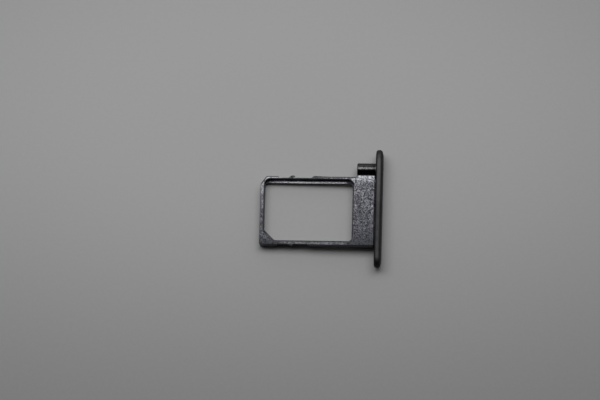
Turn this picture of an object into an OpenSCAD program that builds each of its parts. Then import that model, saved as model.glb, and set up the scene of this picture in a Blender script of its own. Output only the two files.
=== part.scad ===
// Card tray for a nano SIM, one piece of metal: an open frame that holds the card, a solid land,
// a pill-shaped faceplate, and the tube beside the land that leads the eject pin in.
// The middle of the frame's section lies on the X axis, the faceplate's back is at X = 0,
// its outer side faces +X, the tube is on the +Y side, and the card drops in from +Z.

/* [Card] */
// Length of the card
card_len = 12.3; // [12:0.1:15]
// Width of the card
card_w = 8.8; // [8.6:0.1:12]
// Thickness of the card
card_t = 0.67; // [0.6:0.01:0.84]
// Leg of the card's cut corner
card_cut = 1.65; // [1.4:0.05:3]
// Gap between the card and each wall of its pocket
card_gap = 0.1; // [0.05:0.01:0.2]
// Gap between the card's cut corner and the pocket's slanted wall
corner_gap = 0.3; // [0.1:0.02:0.4]

/* [Frame] */
// Depth of the card's top face under the frame's top face
card_drop = 0.11; // [0:0.01:0.3]
// Thickness of the ledges that carry the card
ledge_t = 0.62; // [0.4:0.02:0.9]
// Width of the long rail beside the pin tube
tube_rail_w = 0.36; // [0.34:0.01:0.7]
// Width of the long rail on the other side
plain_rail_w = 0.49; // [0.34:0.01:0.7]
// Width of the rail across the free end
end_rail_w = 0.5; // [0.4:0.02:0.9]
// Length of the solid land between the pocket and the neck
land_len = 2.95; // [2.4:0.05:4]
// Radius of the pocket's corners
pocket_r = 0.85; // [0.4:0.05:1]
// Bevel along the frame's edges
edge_bevel = 0.07; // [0.04:0.01:0.1]

/* [Ledges] */
// Width of the ledge along the long rail beside the pin tube
tube_ledge_w = 0.43; // [0.3:0.01:0.7]
// Width of the ledge along the other long rail
plain_ledge_w = 0.3; // [0.2:0.01:0.7]
// Width of the ledge along the end rail
end_ledge_w = 0.08; // [0.05:0.01:0.4]
// Width of the ledge along the land
land_ledge_w = 0.14; // [0.1:0.01:0.4]
// Width of the ledge along the slanted corner
corner_ledge_w = 0.32; // [0.2:0.01:0.5]
// Radius of the window's corners
window_r = 0.5; // [0.3:0.05:0.7]

/* [Free end] */
// Length along X of the slanted outer corner
slant_x = 0.8; // [0.5:0.05:1.2]
// Length along Y of the slanted outer corner
slant_y = 1.1; // [0.5:0.05:1.5]
// Radius that rounds both ends of the slant
slant_r = 0.45; // [0.2:0.05:0.6]
// Radius of the frame's other corners
corner_r = 0.25; // [0.15:0.05:0.4]

/* [Side notches] */
// Distance from the free end to the notches
notch_start = 2.6; // [2:0.1:3.4]
// Length of the notch beside the pin tube
tube_notch_len = 4.55; // [3.6:0.05:6]
// Length of the notch on the other side
plain_notch_len = 4.1; // [3.6:0.05:6]
// Depth of the notch beside the pin tube
tube_notch_depth = 0.22; // [0.1:0.01:0.24]
// Depth of the notch on the other side
plain_notch_depth = 0.14; // [0.1:0.01:0.24]
// Distance from the start of a notch to its detent nub
nub_start = 1.25; // [0.8:0.05:2]
// Length of the nub's gentle flank
nub_ramp = 0.48; // [0.3:0.02:0.7]
// Length of the nub's flat crest
nub_crest = 0.34; // [0.2:0.02:0.5]
// Length of the nub's steep flank
nub_drop = 0.18; // [0.1:0.02:0.4]
// Height of the nub beside the pin tube above its notch's floor
tube_nub_h = 0.35; // [0.2:0.01:0.4]
// Height of the other nub above its notch's floor
plain_nub_h = 0.16; // [0.1:0.01:0.4]
// Height of the lip that stands out of the rail where the notch beside the pin tube ends
lip_h = 0.08; // [0.04:0.01:0.12]
// Length over which that lip runs out into the rail's side
lip_len = 2.1; // [1:0.1:3]

/* [Neck] */
// Length of the neck between the land and the faceplate
neck_len = 0.1; // [0.06:0.01:0.5]
// Depth of the groove beside the neck at the frame's long sides
neck_side_cut = 0.2; // [0.1:0.01:0.3]
// Depth of the groove above and below the neck
neck_face_cut = 0.45; // [0.1:0.01:0.5]

/* [Faceplate] */
// Length of the faceplate
plate_len = 16.9; // [16:0.1:21]
// Height of the faceplate
plate_h = 2.4; // [1.9:0.05:2.8]
// Thickness of the faceplate at its middle
plate_t = 1.04; // [0.9:0.01:1.3]
// Radius of the faceplate's crowned outer side
crown_r = 3.5; // [2.5:0.1:12]
// Radius of the faceplate's outer edge
front_edge_r = 0.42; // [0.25:0.01:0.45]
// Radius of the faceplate's inner edge
back_edge_r = 0.36; // [0.15:0.01:0.38]
// Height of the faceplate's middle above the frame's middle
plate_rise = 0.05; // [0:0.01:0.15]
// Distance from the eject pin to the faceplate's near end
pin_from_end = 2.94; // [2.3:0.01:4]

/* [Pin tube] */
// Diameter of the hole for the eject pin
pin_hole_d = 1; // [0.85:0.01:1.1]
// Outer diameter of the tube
tube_d = 2; // [1.5:0.01:2.2]
// Length of the tube behind the faceplate
tube_len = 2.6; // [2:0.05:3]
// Gap between the tube and the frame's side, which the shoulder and the web fill
tube_gap = 0.12; // [0.1:0.01:0.8]
// Bevel around the tube's free end
tube_bevel = 0.1; // [0.05:0.01:0.15]
// Width by which the shoulder beside the tube stands out of the frame's side
shoulder_out = 0.26; // [0.1:0.01:0.35]
// Thickness of the web between the shoulder and the tube
web_t = 0.75; // [0.5:0.05:0.9]
// Distance by which the web ends before the tube's free end
web_setback = 0.2; // [0.15:0.05:0.6]

/* [Hidden] */
$fn = 96;
// Overlap by which a piece reaches into what it joins
sink = 0.2;
// Distance by which a cut runs past the face that it opens
past = 0.05;
// Smallest corner radius round which a bevel can be carried
tight_r = edge_bevel + 2 * past;

pocket_len = card_len + 2 * card_gap;
pocket_w = card_w + 2 * card_gap;
pocket_depth = card_t + card_drop;
pocket_cut = card_cut + 2 * card_gap - corner_gap * sqrt(2);
frame_t = pocket_depth + ledge_t;
frame_w = pocket_w + tube_rail_w + plain_rail_w;
frame_top = frame_t / 2;
side_y = frame_w / 2;

neck_x = -neck_len;
land_x = neck_x - land_len;
pocket_x = land_x - pocket_len;
free_x = pocket_x - end_rail_w;
pocket_far_y = side_y - tube_rail_w;
pocket_near_y = -side_y + plain_rail_w;
seat_z = frame_top - pocket_depth;

tube_r = tube_d / 2;
tube_y = side_y + tube_gap + tube_r;
plate_end_y = tube_y + pin_from_end;
plate_half_h = plate_h / 2;

// The frame's outline from above, corner by corner, with the radius at each corner
frame_points = [
    [free_x, -side_y],
    [neck_x, -side_y],
    [neck_x, side_y],
    [free_x + slant_x, side_y],
    [free_x, side_y - slant_y],
];
frame_radii = [corner_r, tight_r, tight_r, slant_r, slant_r];

// The pocket's outline, with its slanted corner at the free end
pocket_points = [
    [pocket_x + pocket_cut, pocket_near_y],
    [land_x, pocket_near_y],
    [land_x, pocket_far_y],
    [pocket_x, pocket_far_y],
    [pocket_x, pocket_near_y + pocket_cut],
];
pocket_radii = [pocket_r / 2, pocket_r, pocket_r, pocket_r, pocket_r / 2];

// The window is the pocket's outline moved in by each ledge
window_end_x = pocket_x + end_ledge_w;
window_land_x = land_x - land_ledge_w;
window_near_y = pocket_near_y + plain_ledge_w;
window_far_y = pocket_far_y - tube_ledge_w;
// On the slanted side of the window, X and Y add up to this
window_slant = pocket_x + pocket_near_y + pocket_cut + corner_ledge_w * sqrt(2);
window_points = [
    [window_slant - window_near_y, window_near_y],
    [window_land_x, window_near_y],
    [window_land_x, window_far_y],
    [window_end_x, window_far_y],
    [window_end_x, window_slant - window_end_x],
];
window_radii = [window_r, window_r, window_r, window_r, window_r];

function unit(v) = v / norm(v);
function along(points, i) = unit(points[(i + 1) % len(points)] - points[i % len(points)]);
function before(points, i) = along(points, i + len(points) - 1);
function bend(points, i) = acos(before(points, i) * along(points, i));
function heading(v) = atan2(v.y, v.x);
// Distance from a corner to the point where its arc meets the straight side
function tangent(points, radii, i) = radii[i] * tan(bend(points, i) / 2);
function arc_start(points, radii, i) = points[i] - before(points, i) * tangent(points, radii, i);
function arc_end(points, radii, i) = points[i] + along(points, i) * tangent(points, radii, i);
function inward(v) = [-v.y, v.x];
function arc_centre(points, radii, i) =
    arc_start(points, radii, i) + inward(before(points, i)) * radii[i];

// Flat outline with true arcs at its corners, taken counter-clockwise and without hollows
module rounded_outline(points, radii) {
    polygon([
        for (i = [0:len(points) - 1])
            each [arc_start(points, radii, i), arc_end(points, radii, i)]
    ]);
    for (i = [0:len(points) - 1])
        translate(arc_centre(points, radii, i)) circle(radii[i]);
}

// Carries a small section, given as outward and upward distances, once around such an outline
module around_outline(points, radii, z, section) {
    count = len(points);
    for (i = [0:count - 1]) {
        side = arc_start(points, radii, (i + 1) % count) - arc_end(points, radii, i);
        start = arc_end(points, radii, i);
        translate([start.x, start.y, z]) rotate([90, 0, heading(side) + 90])
            linear_extrude(norm(side)) polygon([for (p = section) [-p.x, p.y]]);
        centre = arc_centre(points, radii, i);
        translate([centre.x, centre.y, z]) rotate([0, 0, heading(before(points, i)) - 90])
            rotate_extrude(angle = bend(points, i)) translate([radii[i], 0]) polygon(section);
    }
}

// Plate with true arcs at its corners and a bevel along its top and bottom edges
module bevelled_plate(points, radii, t, bevel) {
    difference() {
        translate([0, 0, -t / 2]) linear_extrude(t) rounded_outline(points, radii);
        around_outline(points, radii, t / 2,
            [[past, -bevel - past], [past, past], [-bevel - past, past]]);
        around_outline(points, radii, -t / 2,
            [[past, bevel + past], [-bevel - past, -past], [past, -past]]);
    }
}

// Pocket for the card, with a lead-in bevel at its mouth, and the window below it
module pocket_and_window() {
    translate([0, 0, seat_z]) linear_extrude(pocket_depth + past)
        rounded_outline(pocket_points, pocket_radii);
    around_outline(pocket_points, pocket_radii, frame_top,
        [[-past, -edge_bevel - past], [edge_bevel + past, past], [-past, past]]);
    translate([0, 0, -frame_top - past]) linear_extrude(frame_t)
        rounded_outline(window_points, window_radii);
}

// Notch in a long rail with its detent nub left standing, seen as an outline beside the rail.
// Y = 0 is the rail's side and the notch opens towards +Y.
module notch_outline(length, depth, nub_h) {
    crest_y = nub_h - depth;
    nub_x = notch_start + nub_start;
    difference() {
        polygon([
            [notch_start, -depth],
            [notch_start + length, -depth],
            [notch_start + length + depth, past],
            [notch_start - depth, past],
        ]);
        polygon([
            [nub_x, -depth - past],
            [nub_x, -depth],
            [nub_x + nub_ramp, crest_y],
            [nub_x + nub_ramp + nub_crest, crest_y],
            [nub_x + nub_ramp + nub_crest + nub_drop, -depth],
            [nub_x + nub_ramp + nub_crest + nub_drop, -depth - past],
        ]);
    }
}

// Part of a nub that stands out past the rail's side, and reaches back into the rail
module proud_nub(depth, nub_h) {
    nub_x = notch_start + nub_start;
    translate([0, 0, -frame_top + edge_bevel]) linear_extrude(frame_t - 2 * edge_bevel) polygon([
        [nub_x, -depth - edge_bevel],
        [nub_x, -depth],
        [nub_x + nub_ramp, nub_h - depth],
        [nub_x + nub_ramp + nub_crest, nub_h - depth],
        [nub_x + nub_ramp + nub_crest + nub_drop, -depth],
        [nub_x + nub_ramp + nub_crest + nub_drop, -depth - edge_bevel],
    ]);
}

// Lip that stands out of the rail's side at the end of its notch, and tapers away from it
module notch_lip(length, depth) {
    lip_x = notch_start + length + depth;
    translate([0, 0, -frame_top + edge_bevel]) linear_extrude(frame_t - 2 * edge_bevel) polygon([
        [lip_x - depth / 2, -depth / 2],
        [lip_x, -depth - edge_bevel],
        [lip_x + lip_len, -depth - edge_bevel],
        [lip_x + lip_len, 0],
        [lip_x + lip_h, lip_h],
    ]);
}

// Open frame with its land: outline, pocket, window, notches, nubs and lip
module frame() {
    difference() {
        bevelled_plate(frame_points, frame_radii, frame_t, edge_bevel);
        pocket_and_window();
        translate([free_x, side_y, -frame_top - past]) linear_extrude(frame_t + 2 * past)
            notch_outline(tube_notch_len, tube_notch_depth, tube_nub_h);
        translate([free_x, -side_y, -frame_top - past]) linear_extrude(frame_t + 2 * past)
            mirror([0, 1]) notch_outline(plain_notch_len, plain_notch_depth, plain_nub_h);
    }
    translate([free_x, side_y, 0]) {
        proud_nub(tube_notch_depth, tube_nub_h);
        notch_lip(tube_notch_len, tube_notch_depth);
    }
    translate([free_x, -side_y, 0]) mirror([0, 1, 0]) proud_nub(plain_notch_depth, plain_nub_h);
}

// Neck that joins the land to the faceplate and leaves a groove all round
module neck() {
    neck_w = frame_w - 2 * neck_side_cut;
    neck_t = frame_t - 2 * neck_face_cut;
    translate([neck_x - sink, -neck_w / 2, -neck_t / 2]) cube([neck_len + 2 * sink, neck_w, neck_t]);
}

// Half of the faceplate's section: X is the distance from its middle line, Y the way to the front
module plate_half_section() {
    crown_y = plate_t - crown_r;
    front_x = plate_half_h - front_edge_r;
    crown_angle = asin(front_x / (crown_r - front_edge_r));
    front_y = crown_y + (crown_r - front_edge_r) * cos(crown_angle);
    meet = [crown_r * sin(crown_angle), crown_y + crown_r * cos(crown_angle)];
    polygon([
        [0, 0],
        [plate_half_h - back_edge_r, 0],
        [plate_half_h, back_edge_r],
        [plate_half_h, front_y],
        meet,
        [0, meet.y],
    ]);
    translate([plate_half_h - back_edge_r, back_edge_r]) circle(back_edge_r);
    translate([front_x, front_y]) circle(front_edge_r);
    intersection() {
        translate([0, crown_y]) circle(crown_r);
        translate([0, meet.y]) square([meet.x, plate_t]);
    }
}

// Faceplate: a pill with crowned front and rounded edges, turned at its ends, straight between
module faceplate() {
    straight = plate_len - plate_h;
    translate([0, plate_end_y - plate_half_h, plate_rise]) {
        rotate([0, 90, 0]) rotate_extrude(angle = 180) plate_half_section();
        translate([0, -straight, 0]) rotate([0, 90, 0]) rotate([0, 0, 180])
            rotate_extrude(angle = 180) plate_half_section();
        rotate([90, 0, 0]) linear_extrude(straight) {
            rotate(-90) mirror([1, 0]) plate_half_section();
            mirror([0, 1]) rotate(-90) mirror([1, 0]) plate_half_section();
        }
    }
}

// Tube for the eject pin, with the shoulder and the web that carry it on the land
module pin_tube() {
    translate([0, tube_y, plate_rise]) rotate([0, 90, 0]) {
        translate([0, 0, -tube_len]) cylinder(h = tube_bevel, r1 = tube_r - tube_bevel, r2 = tube_r);
        translate([0, 0, -tube_len + tube_bevel]) cylinder(h = tube_len - tube_bevel + sink, r = tube_r);
    }
    bevelled_plate([
        [-tube_len, side_y - tube_rail_w],
        [neck_x, side_y - tube_rail_w],
        [neck_x, side_y + shoulder_out],
        [-tube_len, side_y + shoulder_out],
    ], [tight_r, tight_r, tight_r, tight_r], frame_t, edge_bevel);
    translate([-tube_len + web_setback, side_y - sink, -frame_top + edge_bevel])
        cube([tube_len - web_setback + sink, tube_gap + tube_r + sink, web_t]);
}

// The whole tray, with the pin's hole drilled through faceplate and tube
module tray() {
    color("#55565b") difference() {
        union() {
            frame();
            neck();
            faceplate();
            pin_tube();
        }
        translate([-tube_len - past, tube_y, plate_rise]) rotate([0, 90, 0])
            cylinder(h = tube_len + plate_t + 2 * past, d = pin_hole_d);
    }
}

tray();
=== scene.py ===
import math

import bpy
from mathutils import Matrix, Vector


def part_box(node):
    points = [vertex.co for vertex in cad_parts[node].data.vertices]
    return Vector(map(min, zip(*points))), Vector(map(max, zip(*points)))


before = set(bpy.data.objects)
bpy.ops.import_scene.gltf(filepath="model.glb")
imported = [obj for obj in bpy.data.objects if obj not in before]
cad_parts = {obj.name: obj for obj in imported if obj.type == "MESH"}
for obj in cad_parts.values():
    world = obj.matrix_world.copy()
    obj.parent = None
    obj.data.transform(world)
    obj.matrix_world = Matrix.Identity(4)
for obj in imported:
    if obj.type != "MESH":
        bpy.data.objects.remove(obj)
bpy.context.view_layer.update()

# Tray: one piece of metal, injection moulded as powder and sintered, then blasted with fine grit
# and coated dark grey. The faceplate is dressed smoother than the frame, and the coat is rubbed
# down to bright metal on the upper faces where they slide in the phone's slot. The layout of that
# bright metal also paints light: a sheen that rises towards the tube's side, and painted shade on
# the ledge by its wall and corners. A painted sheen also lies on the faceplate's upper face.
MM = 0.001
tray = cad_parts["tray"]
tray_low, tray_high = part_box("tray")
FRAME_SIDE_Y = 4.925 * MM
SLANT_X = 0.8 * MM
SLANT_Y = 1.1 * MM
PLATE_BACK = (-0.05 * MM, 0.02 * MM)
TUBE_SIDE = (5.20 * MM, 5.30 * MM)
POCKET_HEIGHT = (0.1 * MM, 0.2 * MM)
UPWARD = (0.85, 0.95)
COAT_DARK = (0.015, 0.0155, 0.020, 1.0)
COAT_LIGHT = (0.031, 0.032, 0.040, 1.0)
RUBBED_DARK = (0.18, 0.181, 0.198, 1.0)
RUBBED_LIGHT = (0.32, 0.322, 0.345, 1.0)
PLATE_DARK = (0.017, 0.017, 0.018, 1.0)
PLATE_LIGHT = (0.043, 0.043, 0.045, 1.0)
PLATE_PAINTED_SHEEN = (0.059, 0.059, 0.061, 1.0)
TUBE_DARK = (0.020, 0.020, 0.021, 1.0)
TUBE_LIGHT = (0.064, 0.064, 0.068, 1.0)
COAT_METALLIC = 0.7
BARE_METALLIC = 1.0
BARE_AT_WEAR = 0.5
COAT_ROUGHNESS = 0.44
RUBBED_ROUGHNESS = 0.36
PLATE_ROUGHNESS = 0.57
TUBE_ROUGHNESS = 0.105
GRIT_SIZE = 0.128 * MM
SCUFF_SIZE = 0.55 * MM
CLOUD_SIZE = 2.6 * MM
FRAME_TILT = 0.38
PLATE_TILT = 0.10
TUBE_TILT = 0.06
RISE = (0.0, 1.0)
FALL = (1.0, 0.0)
NOISE_SPAN = (0.3, 0.7)
MIDDLE = 0.5


def link(tree, *pairs):
    for source, target in pairs:
        tree.links.new(source, target)


def vector_node(tree, kind, a, b=None):
    node = tree.nodes.new("ShaderNodeVectorMath")
    node.operation = kind
    for socket, value in zip(node.inputs, (a, b)):
        if isinstance(value, tuple):
            socket.default_value = value
        elif value is not None:
            tree.links.new(value, socket)
    return node.outputs["Value" if kind == "LENGTH" else "Vector"]


def math_node(tree, kind, a, b):
    node = tree.nodes.new("ShaderNodeMath")
    node.operation = kind
    for socket, value in zip(node.inputs, (a, b)):
        if isinstance(value, float):
            socket.default_value = value
        else:
            tree.links.new(value, socket)
    return node.outputs[0]


def times(tree, *values):
    product = values[0]
    for value in values[1:]:
        product = math_node(tree, "MULTIPLY", product, value)
    return product


def total(tree, *values):
    result = values[0]
    for value in values[1:]:
        result = math_node(tree, "ADD", result, value)
    return result


def largest(tree, *values):
    top = values[0]
    for value in values[1:]:
        top = math_node(tree, "MAXIMUM", top, value)
    return top


def noise(tree, place, size, detail=2.0, roughness=0.5):
    node = tree.nodes.new("ShaderNodeTexNoise")
    node.inputs["Scale"].default_value = 1.0 / size
    node.inputs["Detail"].default_value = detail
    node.inputs["Roughness"].default_value = roughness
    tree.links.new(place, node.inputs["Vector"])
    return node.outputs["Fac"]


def reach(tree, value, span, result=RISE, smooth=True):
    """A ramp: result[0] where the value is below span[0], and result[1] where it is above span[1]."""
    node = tree.nodes.new("ShaderNodeMapRange")
    node.interpolation_type = "SMOOTHSTEP" if smooth else "LINEAR"
    names = ("From Min", "From Max", "To Min", "To Max")
    for name, number in zip(names, (*span, *result)):
        node.inputs[name].default_value = number
    tree.links.new(value, node.inputs["Value"])
    return node.outputs["Result"]


def blend_colour(tree, share, first, second):
    node = tree.nodes.new("ShaderNodeMix")
    node.data_type = "RGBA"
    tree.links.new(share, node.inputs["Factor"])
    for name, value in (("A", first), ("B", second)):
        socket = next(s for s in node.inputs if s.name == name and s.type == "RGBA")
        if isinstance(value, tuple):
            socket.default_value = value
        else:
            tree.links.new(value, socket)
    return next(s for s in node.outputs if s.type == "RGBA")


def blend_number(tree, share, first, second):
    node = tree.nodes.new("ShaderNodeMix")
    node.data_type = "FLOAT"
    tree.links.new(share, node.inputs["Factor"])
    for name, value in (("A", first), ("B", second)):
        if isinstance(value, float):
            node.inputs[name].default_value = value
        else:
            tree.links.new(value, node.inputs[name])
    return node.outputs[0]


def grit_cells(tree, place):
    """The grains that the blasting left: how bright each is, and which way it is tilted."""
    cells = tree.nodes.new("ShaderNodeTexVoronoi")
    cells.inputs["Scale"].default_value = 1.0 / GRIT_SIZE
    split = tree.nodes.new("ShaderNodeSeparateXYZ")
    aside = vector_node(tree, "SUBTRACT", cells.outputs["Color"], (MIDDLE, MIDDLE, MIDDLE))
    link(tree, (place, cells.inputs["Vector"]), (cells.outputs["Color"], split.inputs[0]))
    return split.outputs[2], aside


# Where the coat is rubbed, and how far; its rise towards the tube's side is also a painted sheen.
# X runs from the free end to the faceplate, y from the plain rail to the tube's side and z upwards.
# Each pair gives the two ends of a ramp.
SCUFF_SHARE = (0.7, 1.3)
SCUFF_REACH = 1.6 * MM
FRAME_WEAR_AND_SHEEN = (0.0, 0.17)
FRAME_WEAR_AND_SHEEN_Y = (-FRAME_SIDE_Y, 0.6 * FRAME_SIDE_Y)
RAIL_WEAR = (0.19, 0.0)
RAIL_WEAR_Y = (-4.3 * MM, -4.2 * MM)
RAIL_WEAR_FROM_X = (-14.0 * MM, -12.0 * MM)
RAIL_WEAR_TO_X = (-4.5 * MM, -3.5 * MM)
END_WEAR_AND_SHEEN = (0.0, 0.61)
END_WEAR_X = (-13.3 * MM, -13.0 * MM)
END_WEAR_Y = (-1.0 * MM, FRAME_SIDE_Y)
CORNER_WEAR = (0.09, 0.0)
CORNER_WEAR_FROM_Y = (-4.8 * MM, -3.6 * MM)
CORNER_WEAR_TO_Y = (-2.6 * MM, -1.8 * MM)
LAND_WEAR_AND_SHEEN = (0.0, 0.60)
LAND_WEAR_X = (-4.8 * MM, -4.4 * MM)
LAND_WEAR_Y = (3.6 * MM, 5.0 * MM)
LAND_EDGE = (1.0, 0.1)
LAND_EDGE_Y = (4.68 * MM, 4.80 * MM)
BESIDE_TUBE_X = (-2.7 * MM, -2.6 * MM)
# The ledge is rubbed to bare metal, but only its outer strip is kept bright: painted shade dims it
# next to its wall and towards its corners.
LEDGE_WEAR = (0.9, 0.0)
LEDGE_WEAR_FROM_Y = (3.5 * MM, 3.8 * MM)
LEDGE_WALL_SHADE = (1.0, 0.1)
LEDGE_WALL_SHADE_Y = (4.2 * MM, 4.5 * MM)
LEDGE_SHADE_FROM_X = (-15.0 * MM, -14.5 * MM)
LEDGE_CORNER_SHADE = (0.5, 1.0)
LEDGE_CORNER_SHADE_X = (-14.5 * MM, -12.5 * MM)
LEDGE_SHADE_TO_X = (-4.4 * MM, -3.8 * MM)


def rubbing_and_sheen(tree, x, y, z, scuff):
    """How far the coat is rubbed off the upper faces, by place: most at the tube's side, where the
    rise is also a painted sheen; on the ledge it is dimmed by painted shade near its wall and
    corners.
    """
    shift = times(tree, math_node(tree, "SUBTRACT", scuff, MIDDLE), SCUFF_REACH)
    scuffed_y = total(tree, y, shift)
    # Painted sheen: the frame's upper faces get lighter towards the tube's side, as if catching more
    # of the lamp.
    frame_wear_and_sheen = times(
        tree,
        reach(tree, y, FRAME_WEAR_AND_SHEEN_Y, FRAME_WEAR_AND_SHEEN, smooth=False),
        reach(tree, scuff, NOISE_SPAN, SCUFF_SHARE),
    )
    on_plain_rail = times(
        tree,
        reach(tree, y, RAIL_WEAR_Y, RAIL_WEAR),
        reach(tree, x, RAIL_WEAR_FROM_X),
        reach(tree, x, RAIL_WEAR_TO_X, FALL),
    )
    # Painted sheen: the free end gets lighter towards the tube's side.
    free_end_wear_and_sheen = times(
        tree,
        reach(tree, x, END_WEAR_X, FALL),
        reach(tree, scuffed_y, END_WEAR_Y, END_WEAR_AND_SHEEN, smooth=False),
    )
    at_plain_corner = times(
        tree,
        reach(tree, x, END_WEAR_X, CORNER_WEAR),
        reach(tree, y, CORNER_WEAR_FROM_Y),
        reach(tree, y, CORNER_WEAR_TO_Y, FALL),
    )
    # Painted sheen: the land gets lighter towards the tube's side.
    land_wear_and_sheen = times(
        tree,
        reach(tree, x, LAND_WEAR_X),
        largest(tree, reach(tree, y, LAND_EDGE_Y, LAND_EDGE), reach(tree, x, BESIDE_TUBE_X)),
        reach(tree, scuffed_y, LAND_WEAR_Y, LAND_WEAR_AND_SHEEN),
    )
    on_top = times(
        tree,
        largest(tree, frame_wear_and_sheen, on_plain_rail, free_end_wear_and_sheen, at_plain_corner, land_wear_and_sheen),
        reach(tree, z, POCKET_HEIGHT),
    )
    # Rubbed metal on the ledge, with painted shade near the wall and in the corners.
    ledge_wear_and_shade = times(
        tree,
        reach(tree, z, POCKET_HEIGHT, LEDGE_WEAR),
        reach(tree, y, LEDGE_WEAR_FROM_Y),
        reach(tree, y, LEDGE_WALL_SHADE_Y, LEDGE_WALL_SHADE),
        reach(tree, x, LEDGE_SHADE_FROM_X),
        reach(tree, x, LEDGE_CORNER_SHADE_X, LEDGE_CORNER_SHADE),
        reach(tree, x, LEDGE_SHADE_TO_X, FALL),
    )
    return largest(tree, on_top, ledge_wear_and_shade)


# The upper rim where less of the wear shows, so that it stays darker: how far in from the frame's
# side, and how high up, it lies.
RIM_OUTSIDE = 0.11 * MM
RIM_INSIDE = 0.22 * MM
RIM_END_X = (-2.8 * MM, -2.6 * MM)
RIM_HEIGHT = (0.4 * MM, 0.5 * MM)
RIM_WEAR = (1.0, 0.2)


def wear_left_at_rim(tree, x, y, z):
    """The share of the wear that shows: less along the upper edge on the tube's side and at the
    slant, which stay darker.
    """
    slant = math.hypot(SLANT_X, SLANT_Y)
    across_slant = math_node(
        tree,
        "SUBTRACT",
        times(tree, y, SLANT_X / slant),
        times(tree, x, SLANT_Y / slant),
    )
    slant_edge = ((FRAME_SIDE_Y - SLANT_Y) * SLANT_X - tray_low.x * SLANT_Y) / slant
    at_slant = reach(tree, across_slant, (slant_edge - RIM_INSIDE, slant_edge - RIM_OUTSIDE))
    at_side = times(
        tree,
        reach(tree, y, (FRAME_SIDE_Y - RIM_INSIDE, FRAME_SIDE_Y - RIM_OUTSIDE)),
        reach(tree, x, RIM_END_X, FALL),
    )
    rim = times(tree, largest(tree, at_side, at_slant), reach(tree, z, RIM_HEIGHT))
    return reach(tree, rim, RISE, RIM_WEAR)


# How single grains stand out on the frame, and where a sheen is painted on the faceplate: paler on
# its upward faces towards its far end, as if catching the lamp.
SPECKLE_AT_WEAR = (0.0, 0.14)
SPECKLE = (0.08, 0.62)
SPECKLE_PLAIN_SIDE_Y = (-4.5 * MM, -3.0 * MM)
SPECKLE_PLAIN_SIDE = (0.35, 1.0)
SIDE_WEAR = (0.34, 0.50)
PALE_GRAINS_Y = (-4.5 * MM, -3.5 * MM)
PALE_GRAINS = (0.2, 1.0)
# Painted shade: where the tube meets the faceplate, the tube's bright grains fade out.
TUBE_SHADE_BY_PLATE_X = (-0.6 * MM, -0.3 * MM)
PLATE_SHEEN_FROM_Y = (-3.0 * MM, 7.5 * MM)
PLATE_SHEEN_TO_Y = (7.0 * MM, 8.1 * MM)
PLATE_SHEEN_TIP = (1.0, 0.1)
PLATE_SHEEN_UPWARD = (0.6, 0.97)


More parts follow.
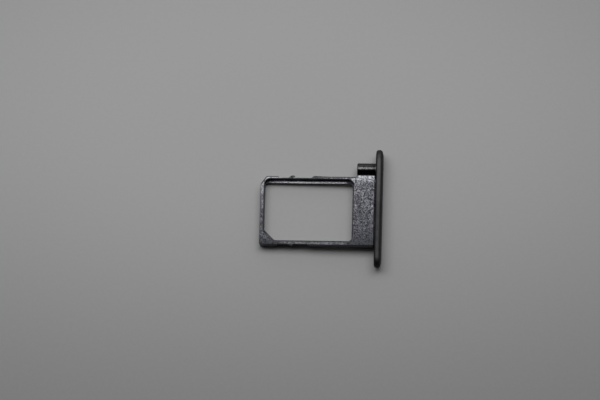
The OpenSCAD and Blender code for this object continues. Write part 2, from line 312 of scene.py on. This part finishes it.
def tray_metal():
    material = bpy.data.materials.new("tray_metal")
    material.use_nodes = True
    tree = material.node_tree
    shader = tree.nodes["Principled BSDF"]
    place = tree.nodes.new("ShaderNodeTexCoord").outputs["Object"]
    axes = tree.nodes.new("ShaderNodeSeparateXYZ")
    geometry = tree.nodes.new("ShaderNodeNewGeometry")
    facing = tree.nodes.new("ShaderNodeSeparateXYZ")
    link(tree, (place, axes.inputs[0]), (geometry.outputs["True Normal"], facing.inputs[0]))
    x, y, z = axes.outputs

    on_plate = reach(tree, x, PLATE_BACK)
    on_tube = times(tree, reach(tree, y, TUBE_SIDE), reach(tree, x, PLATE_BACK, FALL))
    upward = reach(tree, facing.outputs["Z"], UPWARD)
    sideways = reach(tree, facing.outputs["Z"], UPWARD, FALL)
    grain, aside = grit_cells(tree, place)
    scuff = noise(tree, place, SCUFF_SIZE)
    cloud = noise(tree, place, CLOUD_SIZE)

    rubbed_and_sheen = times(tree, upward, rubbing_and_sheen(tree, x, y, z, scuff))
    speckle = times(
        tree,
        math_node(tree, "SUBTRACT", grain, MIDDLE),
        reach(tree, rubbed_and_sheen, SPECKLE_AT_WEAR, SPECKLE),
        reach(tree, y, SPECKLE_PLAIN_SIDE_Y, SPECKLE_PLAIN_SIDE),
        upward,
    )
    side_wear = times(tree, reach(tree, grain, RISE, SIDE_WEAR), sideways)
    worn_and_sheen = times(tree, total(tree, rubbed_and_sheen, side_wear, speckle), wear_left_at_rim(tree, x, y, z))
    worn_and_sheen = reach(tree, worn_and_sheen, RISE, smooth=False)

    pale_grain = times(tree, grain, reach(tree, y, PALE_GRAINS_Y, PALE_GRAINS))
    coat = blend_colour(tree, pale_grain, COAT_DARK, COAT_LIGHT)
    metal = blend_colour(tree, scuff, RUBBED_DARK, RUBBED_LIGHT)
    # Painted shade: the tube darkens towards the faceplate that shades it.
    tube_grain_and_shade = times(tree, grain, reach(tree, x, TUBE_SHADE_BY_PLATE_X, FALL))
    tube_colour = blend_colour(tree, tube_grain_and_shade, TUBE_DARK, TUBE_LIGHT)
    frame_colour = blend_colour(tree, worn_and_sheen, coat, metal)
    frame_colour = blend_colour(tree, on_tube, frame_colour, tube_colour)

    cloudy = times(tree, total(tree, reach(tree, cloud, NOISE_SPAN), grain), MIDDLE)
    # Painted sheen on the faceplate's upward faces, rising towards its far end.
    plate_sheen = times(
        tree,
        reach(tree, y, PLATE_SHEEN_FROM_Y),
        reach(tree, y, PLATE_SHEEN_TO_Y, PLATE_SHEEN_TIP),
        reach(tree, facing.outputs["Z"], PLATE_SHEEN_UPWARD),
    )
    plate_colour = blend_colour(tree, cloudy, PLATE_DARK, PLATE_LIGHT)
    plate_colour = blend_colour(tree, plate_sheen, plate_colour, PLATE_PAINTED_SHEEN)
    colour = blend_colour(tree, on_plate, frame_colour, plate_colour)

    rough = blend_number(tree, worn_and_sheen, COAT_ROUGHNESS, RUBBED_ROUGHNESS)
    rough = blend_number(tree, on_tube, rough, TUBE_ROUGHNESS)
    rough = blend_number(tree, on_plate, rough, PLATE_ROUGHNESS)
    metallic = reach(tree, worn_and_sheen, (0.0, BARE_AT_WEAR), (COAT_METALLIC, BARE_METALLIC))
    metallic = blend_number(tree, on_plate, metallic, BARE_METALLIC)

    tilt = blend_number(tree, on_tube, FRAME_TILT, TUBE_TILT)
    tilt = blend_number(tree, on_plate, tilt, PLATE_TILT)
    tilted = tree.nodes.new("ShaderNodeVectorMath")
    tilted.operation = "SCALE"
    link(tree, (aside, tilted.inputs[0]), (tilt, tilted.inputs["Scale"]))
    leaning = vector_node(tree, "ADD", geometry.outputs["Normal"], tilted.outputs[0])
    normal = vector_node(tree, "NORMALIZE", leaning)
    link(
        tree,
        (colour, shader.inputs["Base Color"]),
        (metallic, shader.inputs["Metallic"]),
        (rough, shader.inputs["Roughness"]),
        (normal, shader.inputs["Normal"]),
    )
    return material


for slot in tray.material_slots:
    slot.material = tray_metal()

# Table top: a sheet of matt grey paper. The faceplate is taller than the frame, so the tray leans
# on the faceplate's lower edge and on the lower edge of its free end, and the sheet follows that.
SHEET_SIZE = 2.0
SHEET_PALE = (0.325, 0.325, 0.325, 1.0)
# The darker tone carries a painted falloff of the lamp's light, centred behind the tray, as well as
# the paper's fibres.
SHEET_SHADED_AND_FIBRE = (0.215, 0.215, 0.215, 1.0)
SHEET_LIGHT_POOL_CENTRE = (-0.016, 0.022, 0.0)
SHEET_LIGHT_POOL_STRETCH = (0.5, 1.0, 1.0)
SHEET_LIGHT_POOL_FALLOFF = (8.0 * MM, 56.0 * MM)
SHEET_ROUGHNESS = 0.9
SHEET_SPECULAR = 0.1
FIBRE_SIZE = 0.6 * MM
FIBRE_DETAIL = 4.0
FIBRE_ROUGHNESS = 0.7
FIBRE_SHARE = (0.0, 0.06)
FOOT_REACH = 1.0 * MM
FOOT_STEP = 0.0001 * MM
corners = [tray.matrix_world @ v.co for v in tray.data.vertices]
plate_foot = min(corners, key=lambda c: (round(c.z / FOOT_STEP), c.x))
beyond = [c for c in corners if c.x < plate_foot.x - FOOT_REACH]
lean = min(math.atan2(c.z - plate_foot.z, plate_foot.x - c.x) for c in beyond)
bpy.ops.mesh.primitive_plane_add(size=SHEET_SIZE, location=plate_foot, rotation=(0.0, lean, 0.0))
sheet = bpy.context.object
sheet.name = "table_top"


def grey_paper():
    material = bpy.data.materials.new("grey_paper")
    material.use_nodes = True
    tree = material.node_tree
    shader = tree.nodes["Principled BSDF"]
    place = tree.nodes.new("ShaderNodeTexCoord").outputs["Object"]
    # Painted falloff of light: the paper darkens with distance from a point behind the tray.
    from_centre = vector_node(tree, "SUBTRACT", place, SHEET_LIGHT_POOL_CENTRE)
    stretched = vector_node(tree, "MULTIPLY", from_centre, SHEET_LIGHT_POOL_STRETCH)
    painted_falloff = reach(tree, vector_node(tree, "LENGTH", stretched), SHEET_LIGHT_POOL_FALLOFF)
    fibres = noise(tree, place, FIBRE_SIZE, FIBRE_DETAIL, FIBRE_ROUGHNESS)
    falloff_and_fibres = total(tree, painted_falloff, reach(tree, fibres, NOISE_SPAN, FIBRE_SHARE))
    colour = blend_colour(tree, falloff_and_fibres, SHEET_PALE, SHEET_SHADED_AND_FIBRE)
    link(tree, (colour, shader.inputs["Base Color"]))
    shader.inputs["Roughness"].default_value = SHEET_ROUGHNESS
    shader.inputs["Specular IOR Level"].default_value = SHEET_SPECULAR
    return material


sheet.data.materials.append(grey_paper())

# Light: one soft lamp above and behind the tray, and a dim room that is darkest on the camera's
# side, so that the tray's upper faces mirror the lamp and its near walls mirror the dark.
LAMP_DISTANCE = 0.30
LAMP_TILT = 25.0
LAMP_SWING = -4.0
LAMP_WIDTH = 0.40
LAMP_DEPTH = 0.165
LAMP_WATTS = 0.875
ROOM_BACK = (0.85, 0.85, 0.85, 1.0)
ROOM_FRONT = (0.005, 0.005, 0.005, 1.0)
ROOM_SPAN = (-0.3, 1.0)
scene = bpy.context.scene
lamp_data = bpy.data.lights.new("soft_lamp", "AREA")
lamp_data.shape = "RECTANGLE"
lamp_data.size = LAMP_WIDTH
lamp_data.size_y = LAMP_DEPTH
lamp_data.energy = LAMP_WATTS
lamp = bpy.data.objects.new("soft_lamp", lamp_data)
scene.collection.objects.link(lamp)
lamp_swing = math.radians(LAMP_SWING)
lamp_tilt = math.radians(LAMP_TILT)
lamp_way = Vector((math.tan(lamp_swing), math.tan(lamp_tilt), 1.0)).normalized()
lamp.location = (tray_low + tray_high) * 0.5 + lamp_way * LAMP_DISTANCE
lamp.rotation_euler = (-lamp_way).to_track_quat("-Z", "Y").to_euler()
lamp.visible_camera = False
world = bpy.data.worlds.new("room")
scene.world = world
world.use_nodes = True
room = world.node_tree
way = room.nodes.new("ShaderNodeSeparateXYZ")
link(room, (room.nodes.new("ShaderNodeTexCoord").outputs["Generated"], way.inputs[0]))
room_share = reach(room, way.outputs["Y"], ROOM_SPAN, smooth=False)
room_colour = blend_colour(room, room_share, ROOM_FRONT, ROOM_BACK)
link(room, (room_colour, room.nodes["Background"].inputs["Color"]))

# Camera: a long lens, looking down steeply from the plain rail's side, and rolled so that the tray
# stands upright in the picture. It aims a little beside the tray, which lies right of the middle.
CAMERA_AZIMUTH = 15.0
CAMERA_ELEVATION = 74.9
CAMERA_ROLL = 13.8
CAMERA_DISTANCE = 0.45
CAMERA_LENS = 193.4
CAMERA_CLIP_START = 0.01
FRAMED_POINT = Vector((-8.0, 0.0, 0.0)) * MM
BESIDE = 2.48 * MM
ABOVE = 1.65 * MM
azimuth = math.radians(CAMERA_AZIMUTH)
elevation = math.radians(CAMERA_ELEVATION)
roll = math.radians(CAMERA_ROLL)
back = Vector((
    math.sin(azimuth) * math.cos(elevation),
    -math.cos(azimuth) * math.cos(elevation),
    math.sin(elevation),
))
level = Vector((math.cos(azimuth), math.sin(azimuth), 0.0))
steep = back.cross(level)
right = level * math.cos(roll) - steep * math.sin(roll)
up = steep * math.cos(roll) + level * math.sin(roll)
camera_data = bpy.data.cameras.new("camera")
camera_data.lens = CAMERA_LENS
camera_data.clip_start = CAMERA_CLIP_START
camera = bpy.data.objects.new("camera", camera_data)
scene.collection.objects.link(camera)
camera.matrix_world = Matrix((right, up, back)).transposed().to_4x4()
camera.location = FRAMED_POINT - right * BESIDE + up * ABOVE + back * CAMERA_DISTANCE
scene.camera = camera
scene.view_settings.view_transform = "Standard"
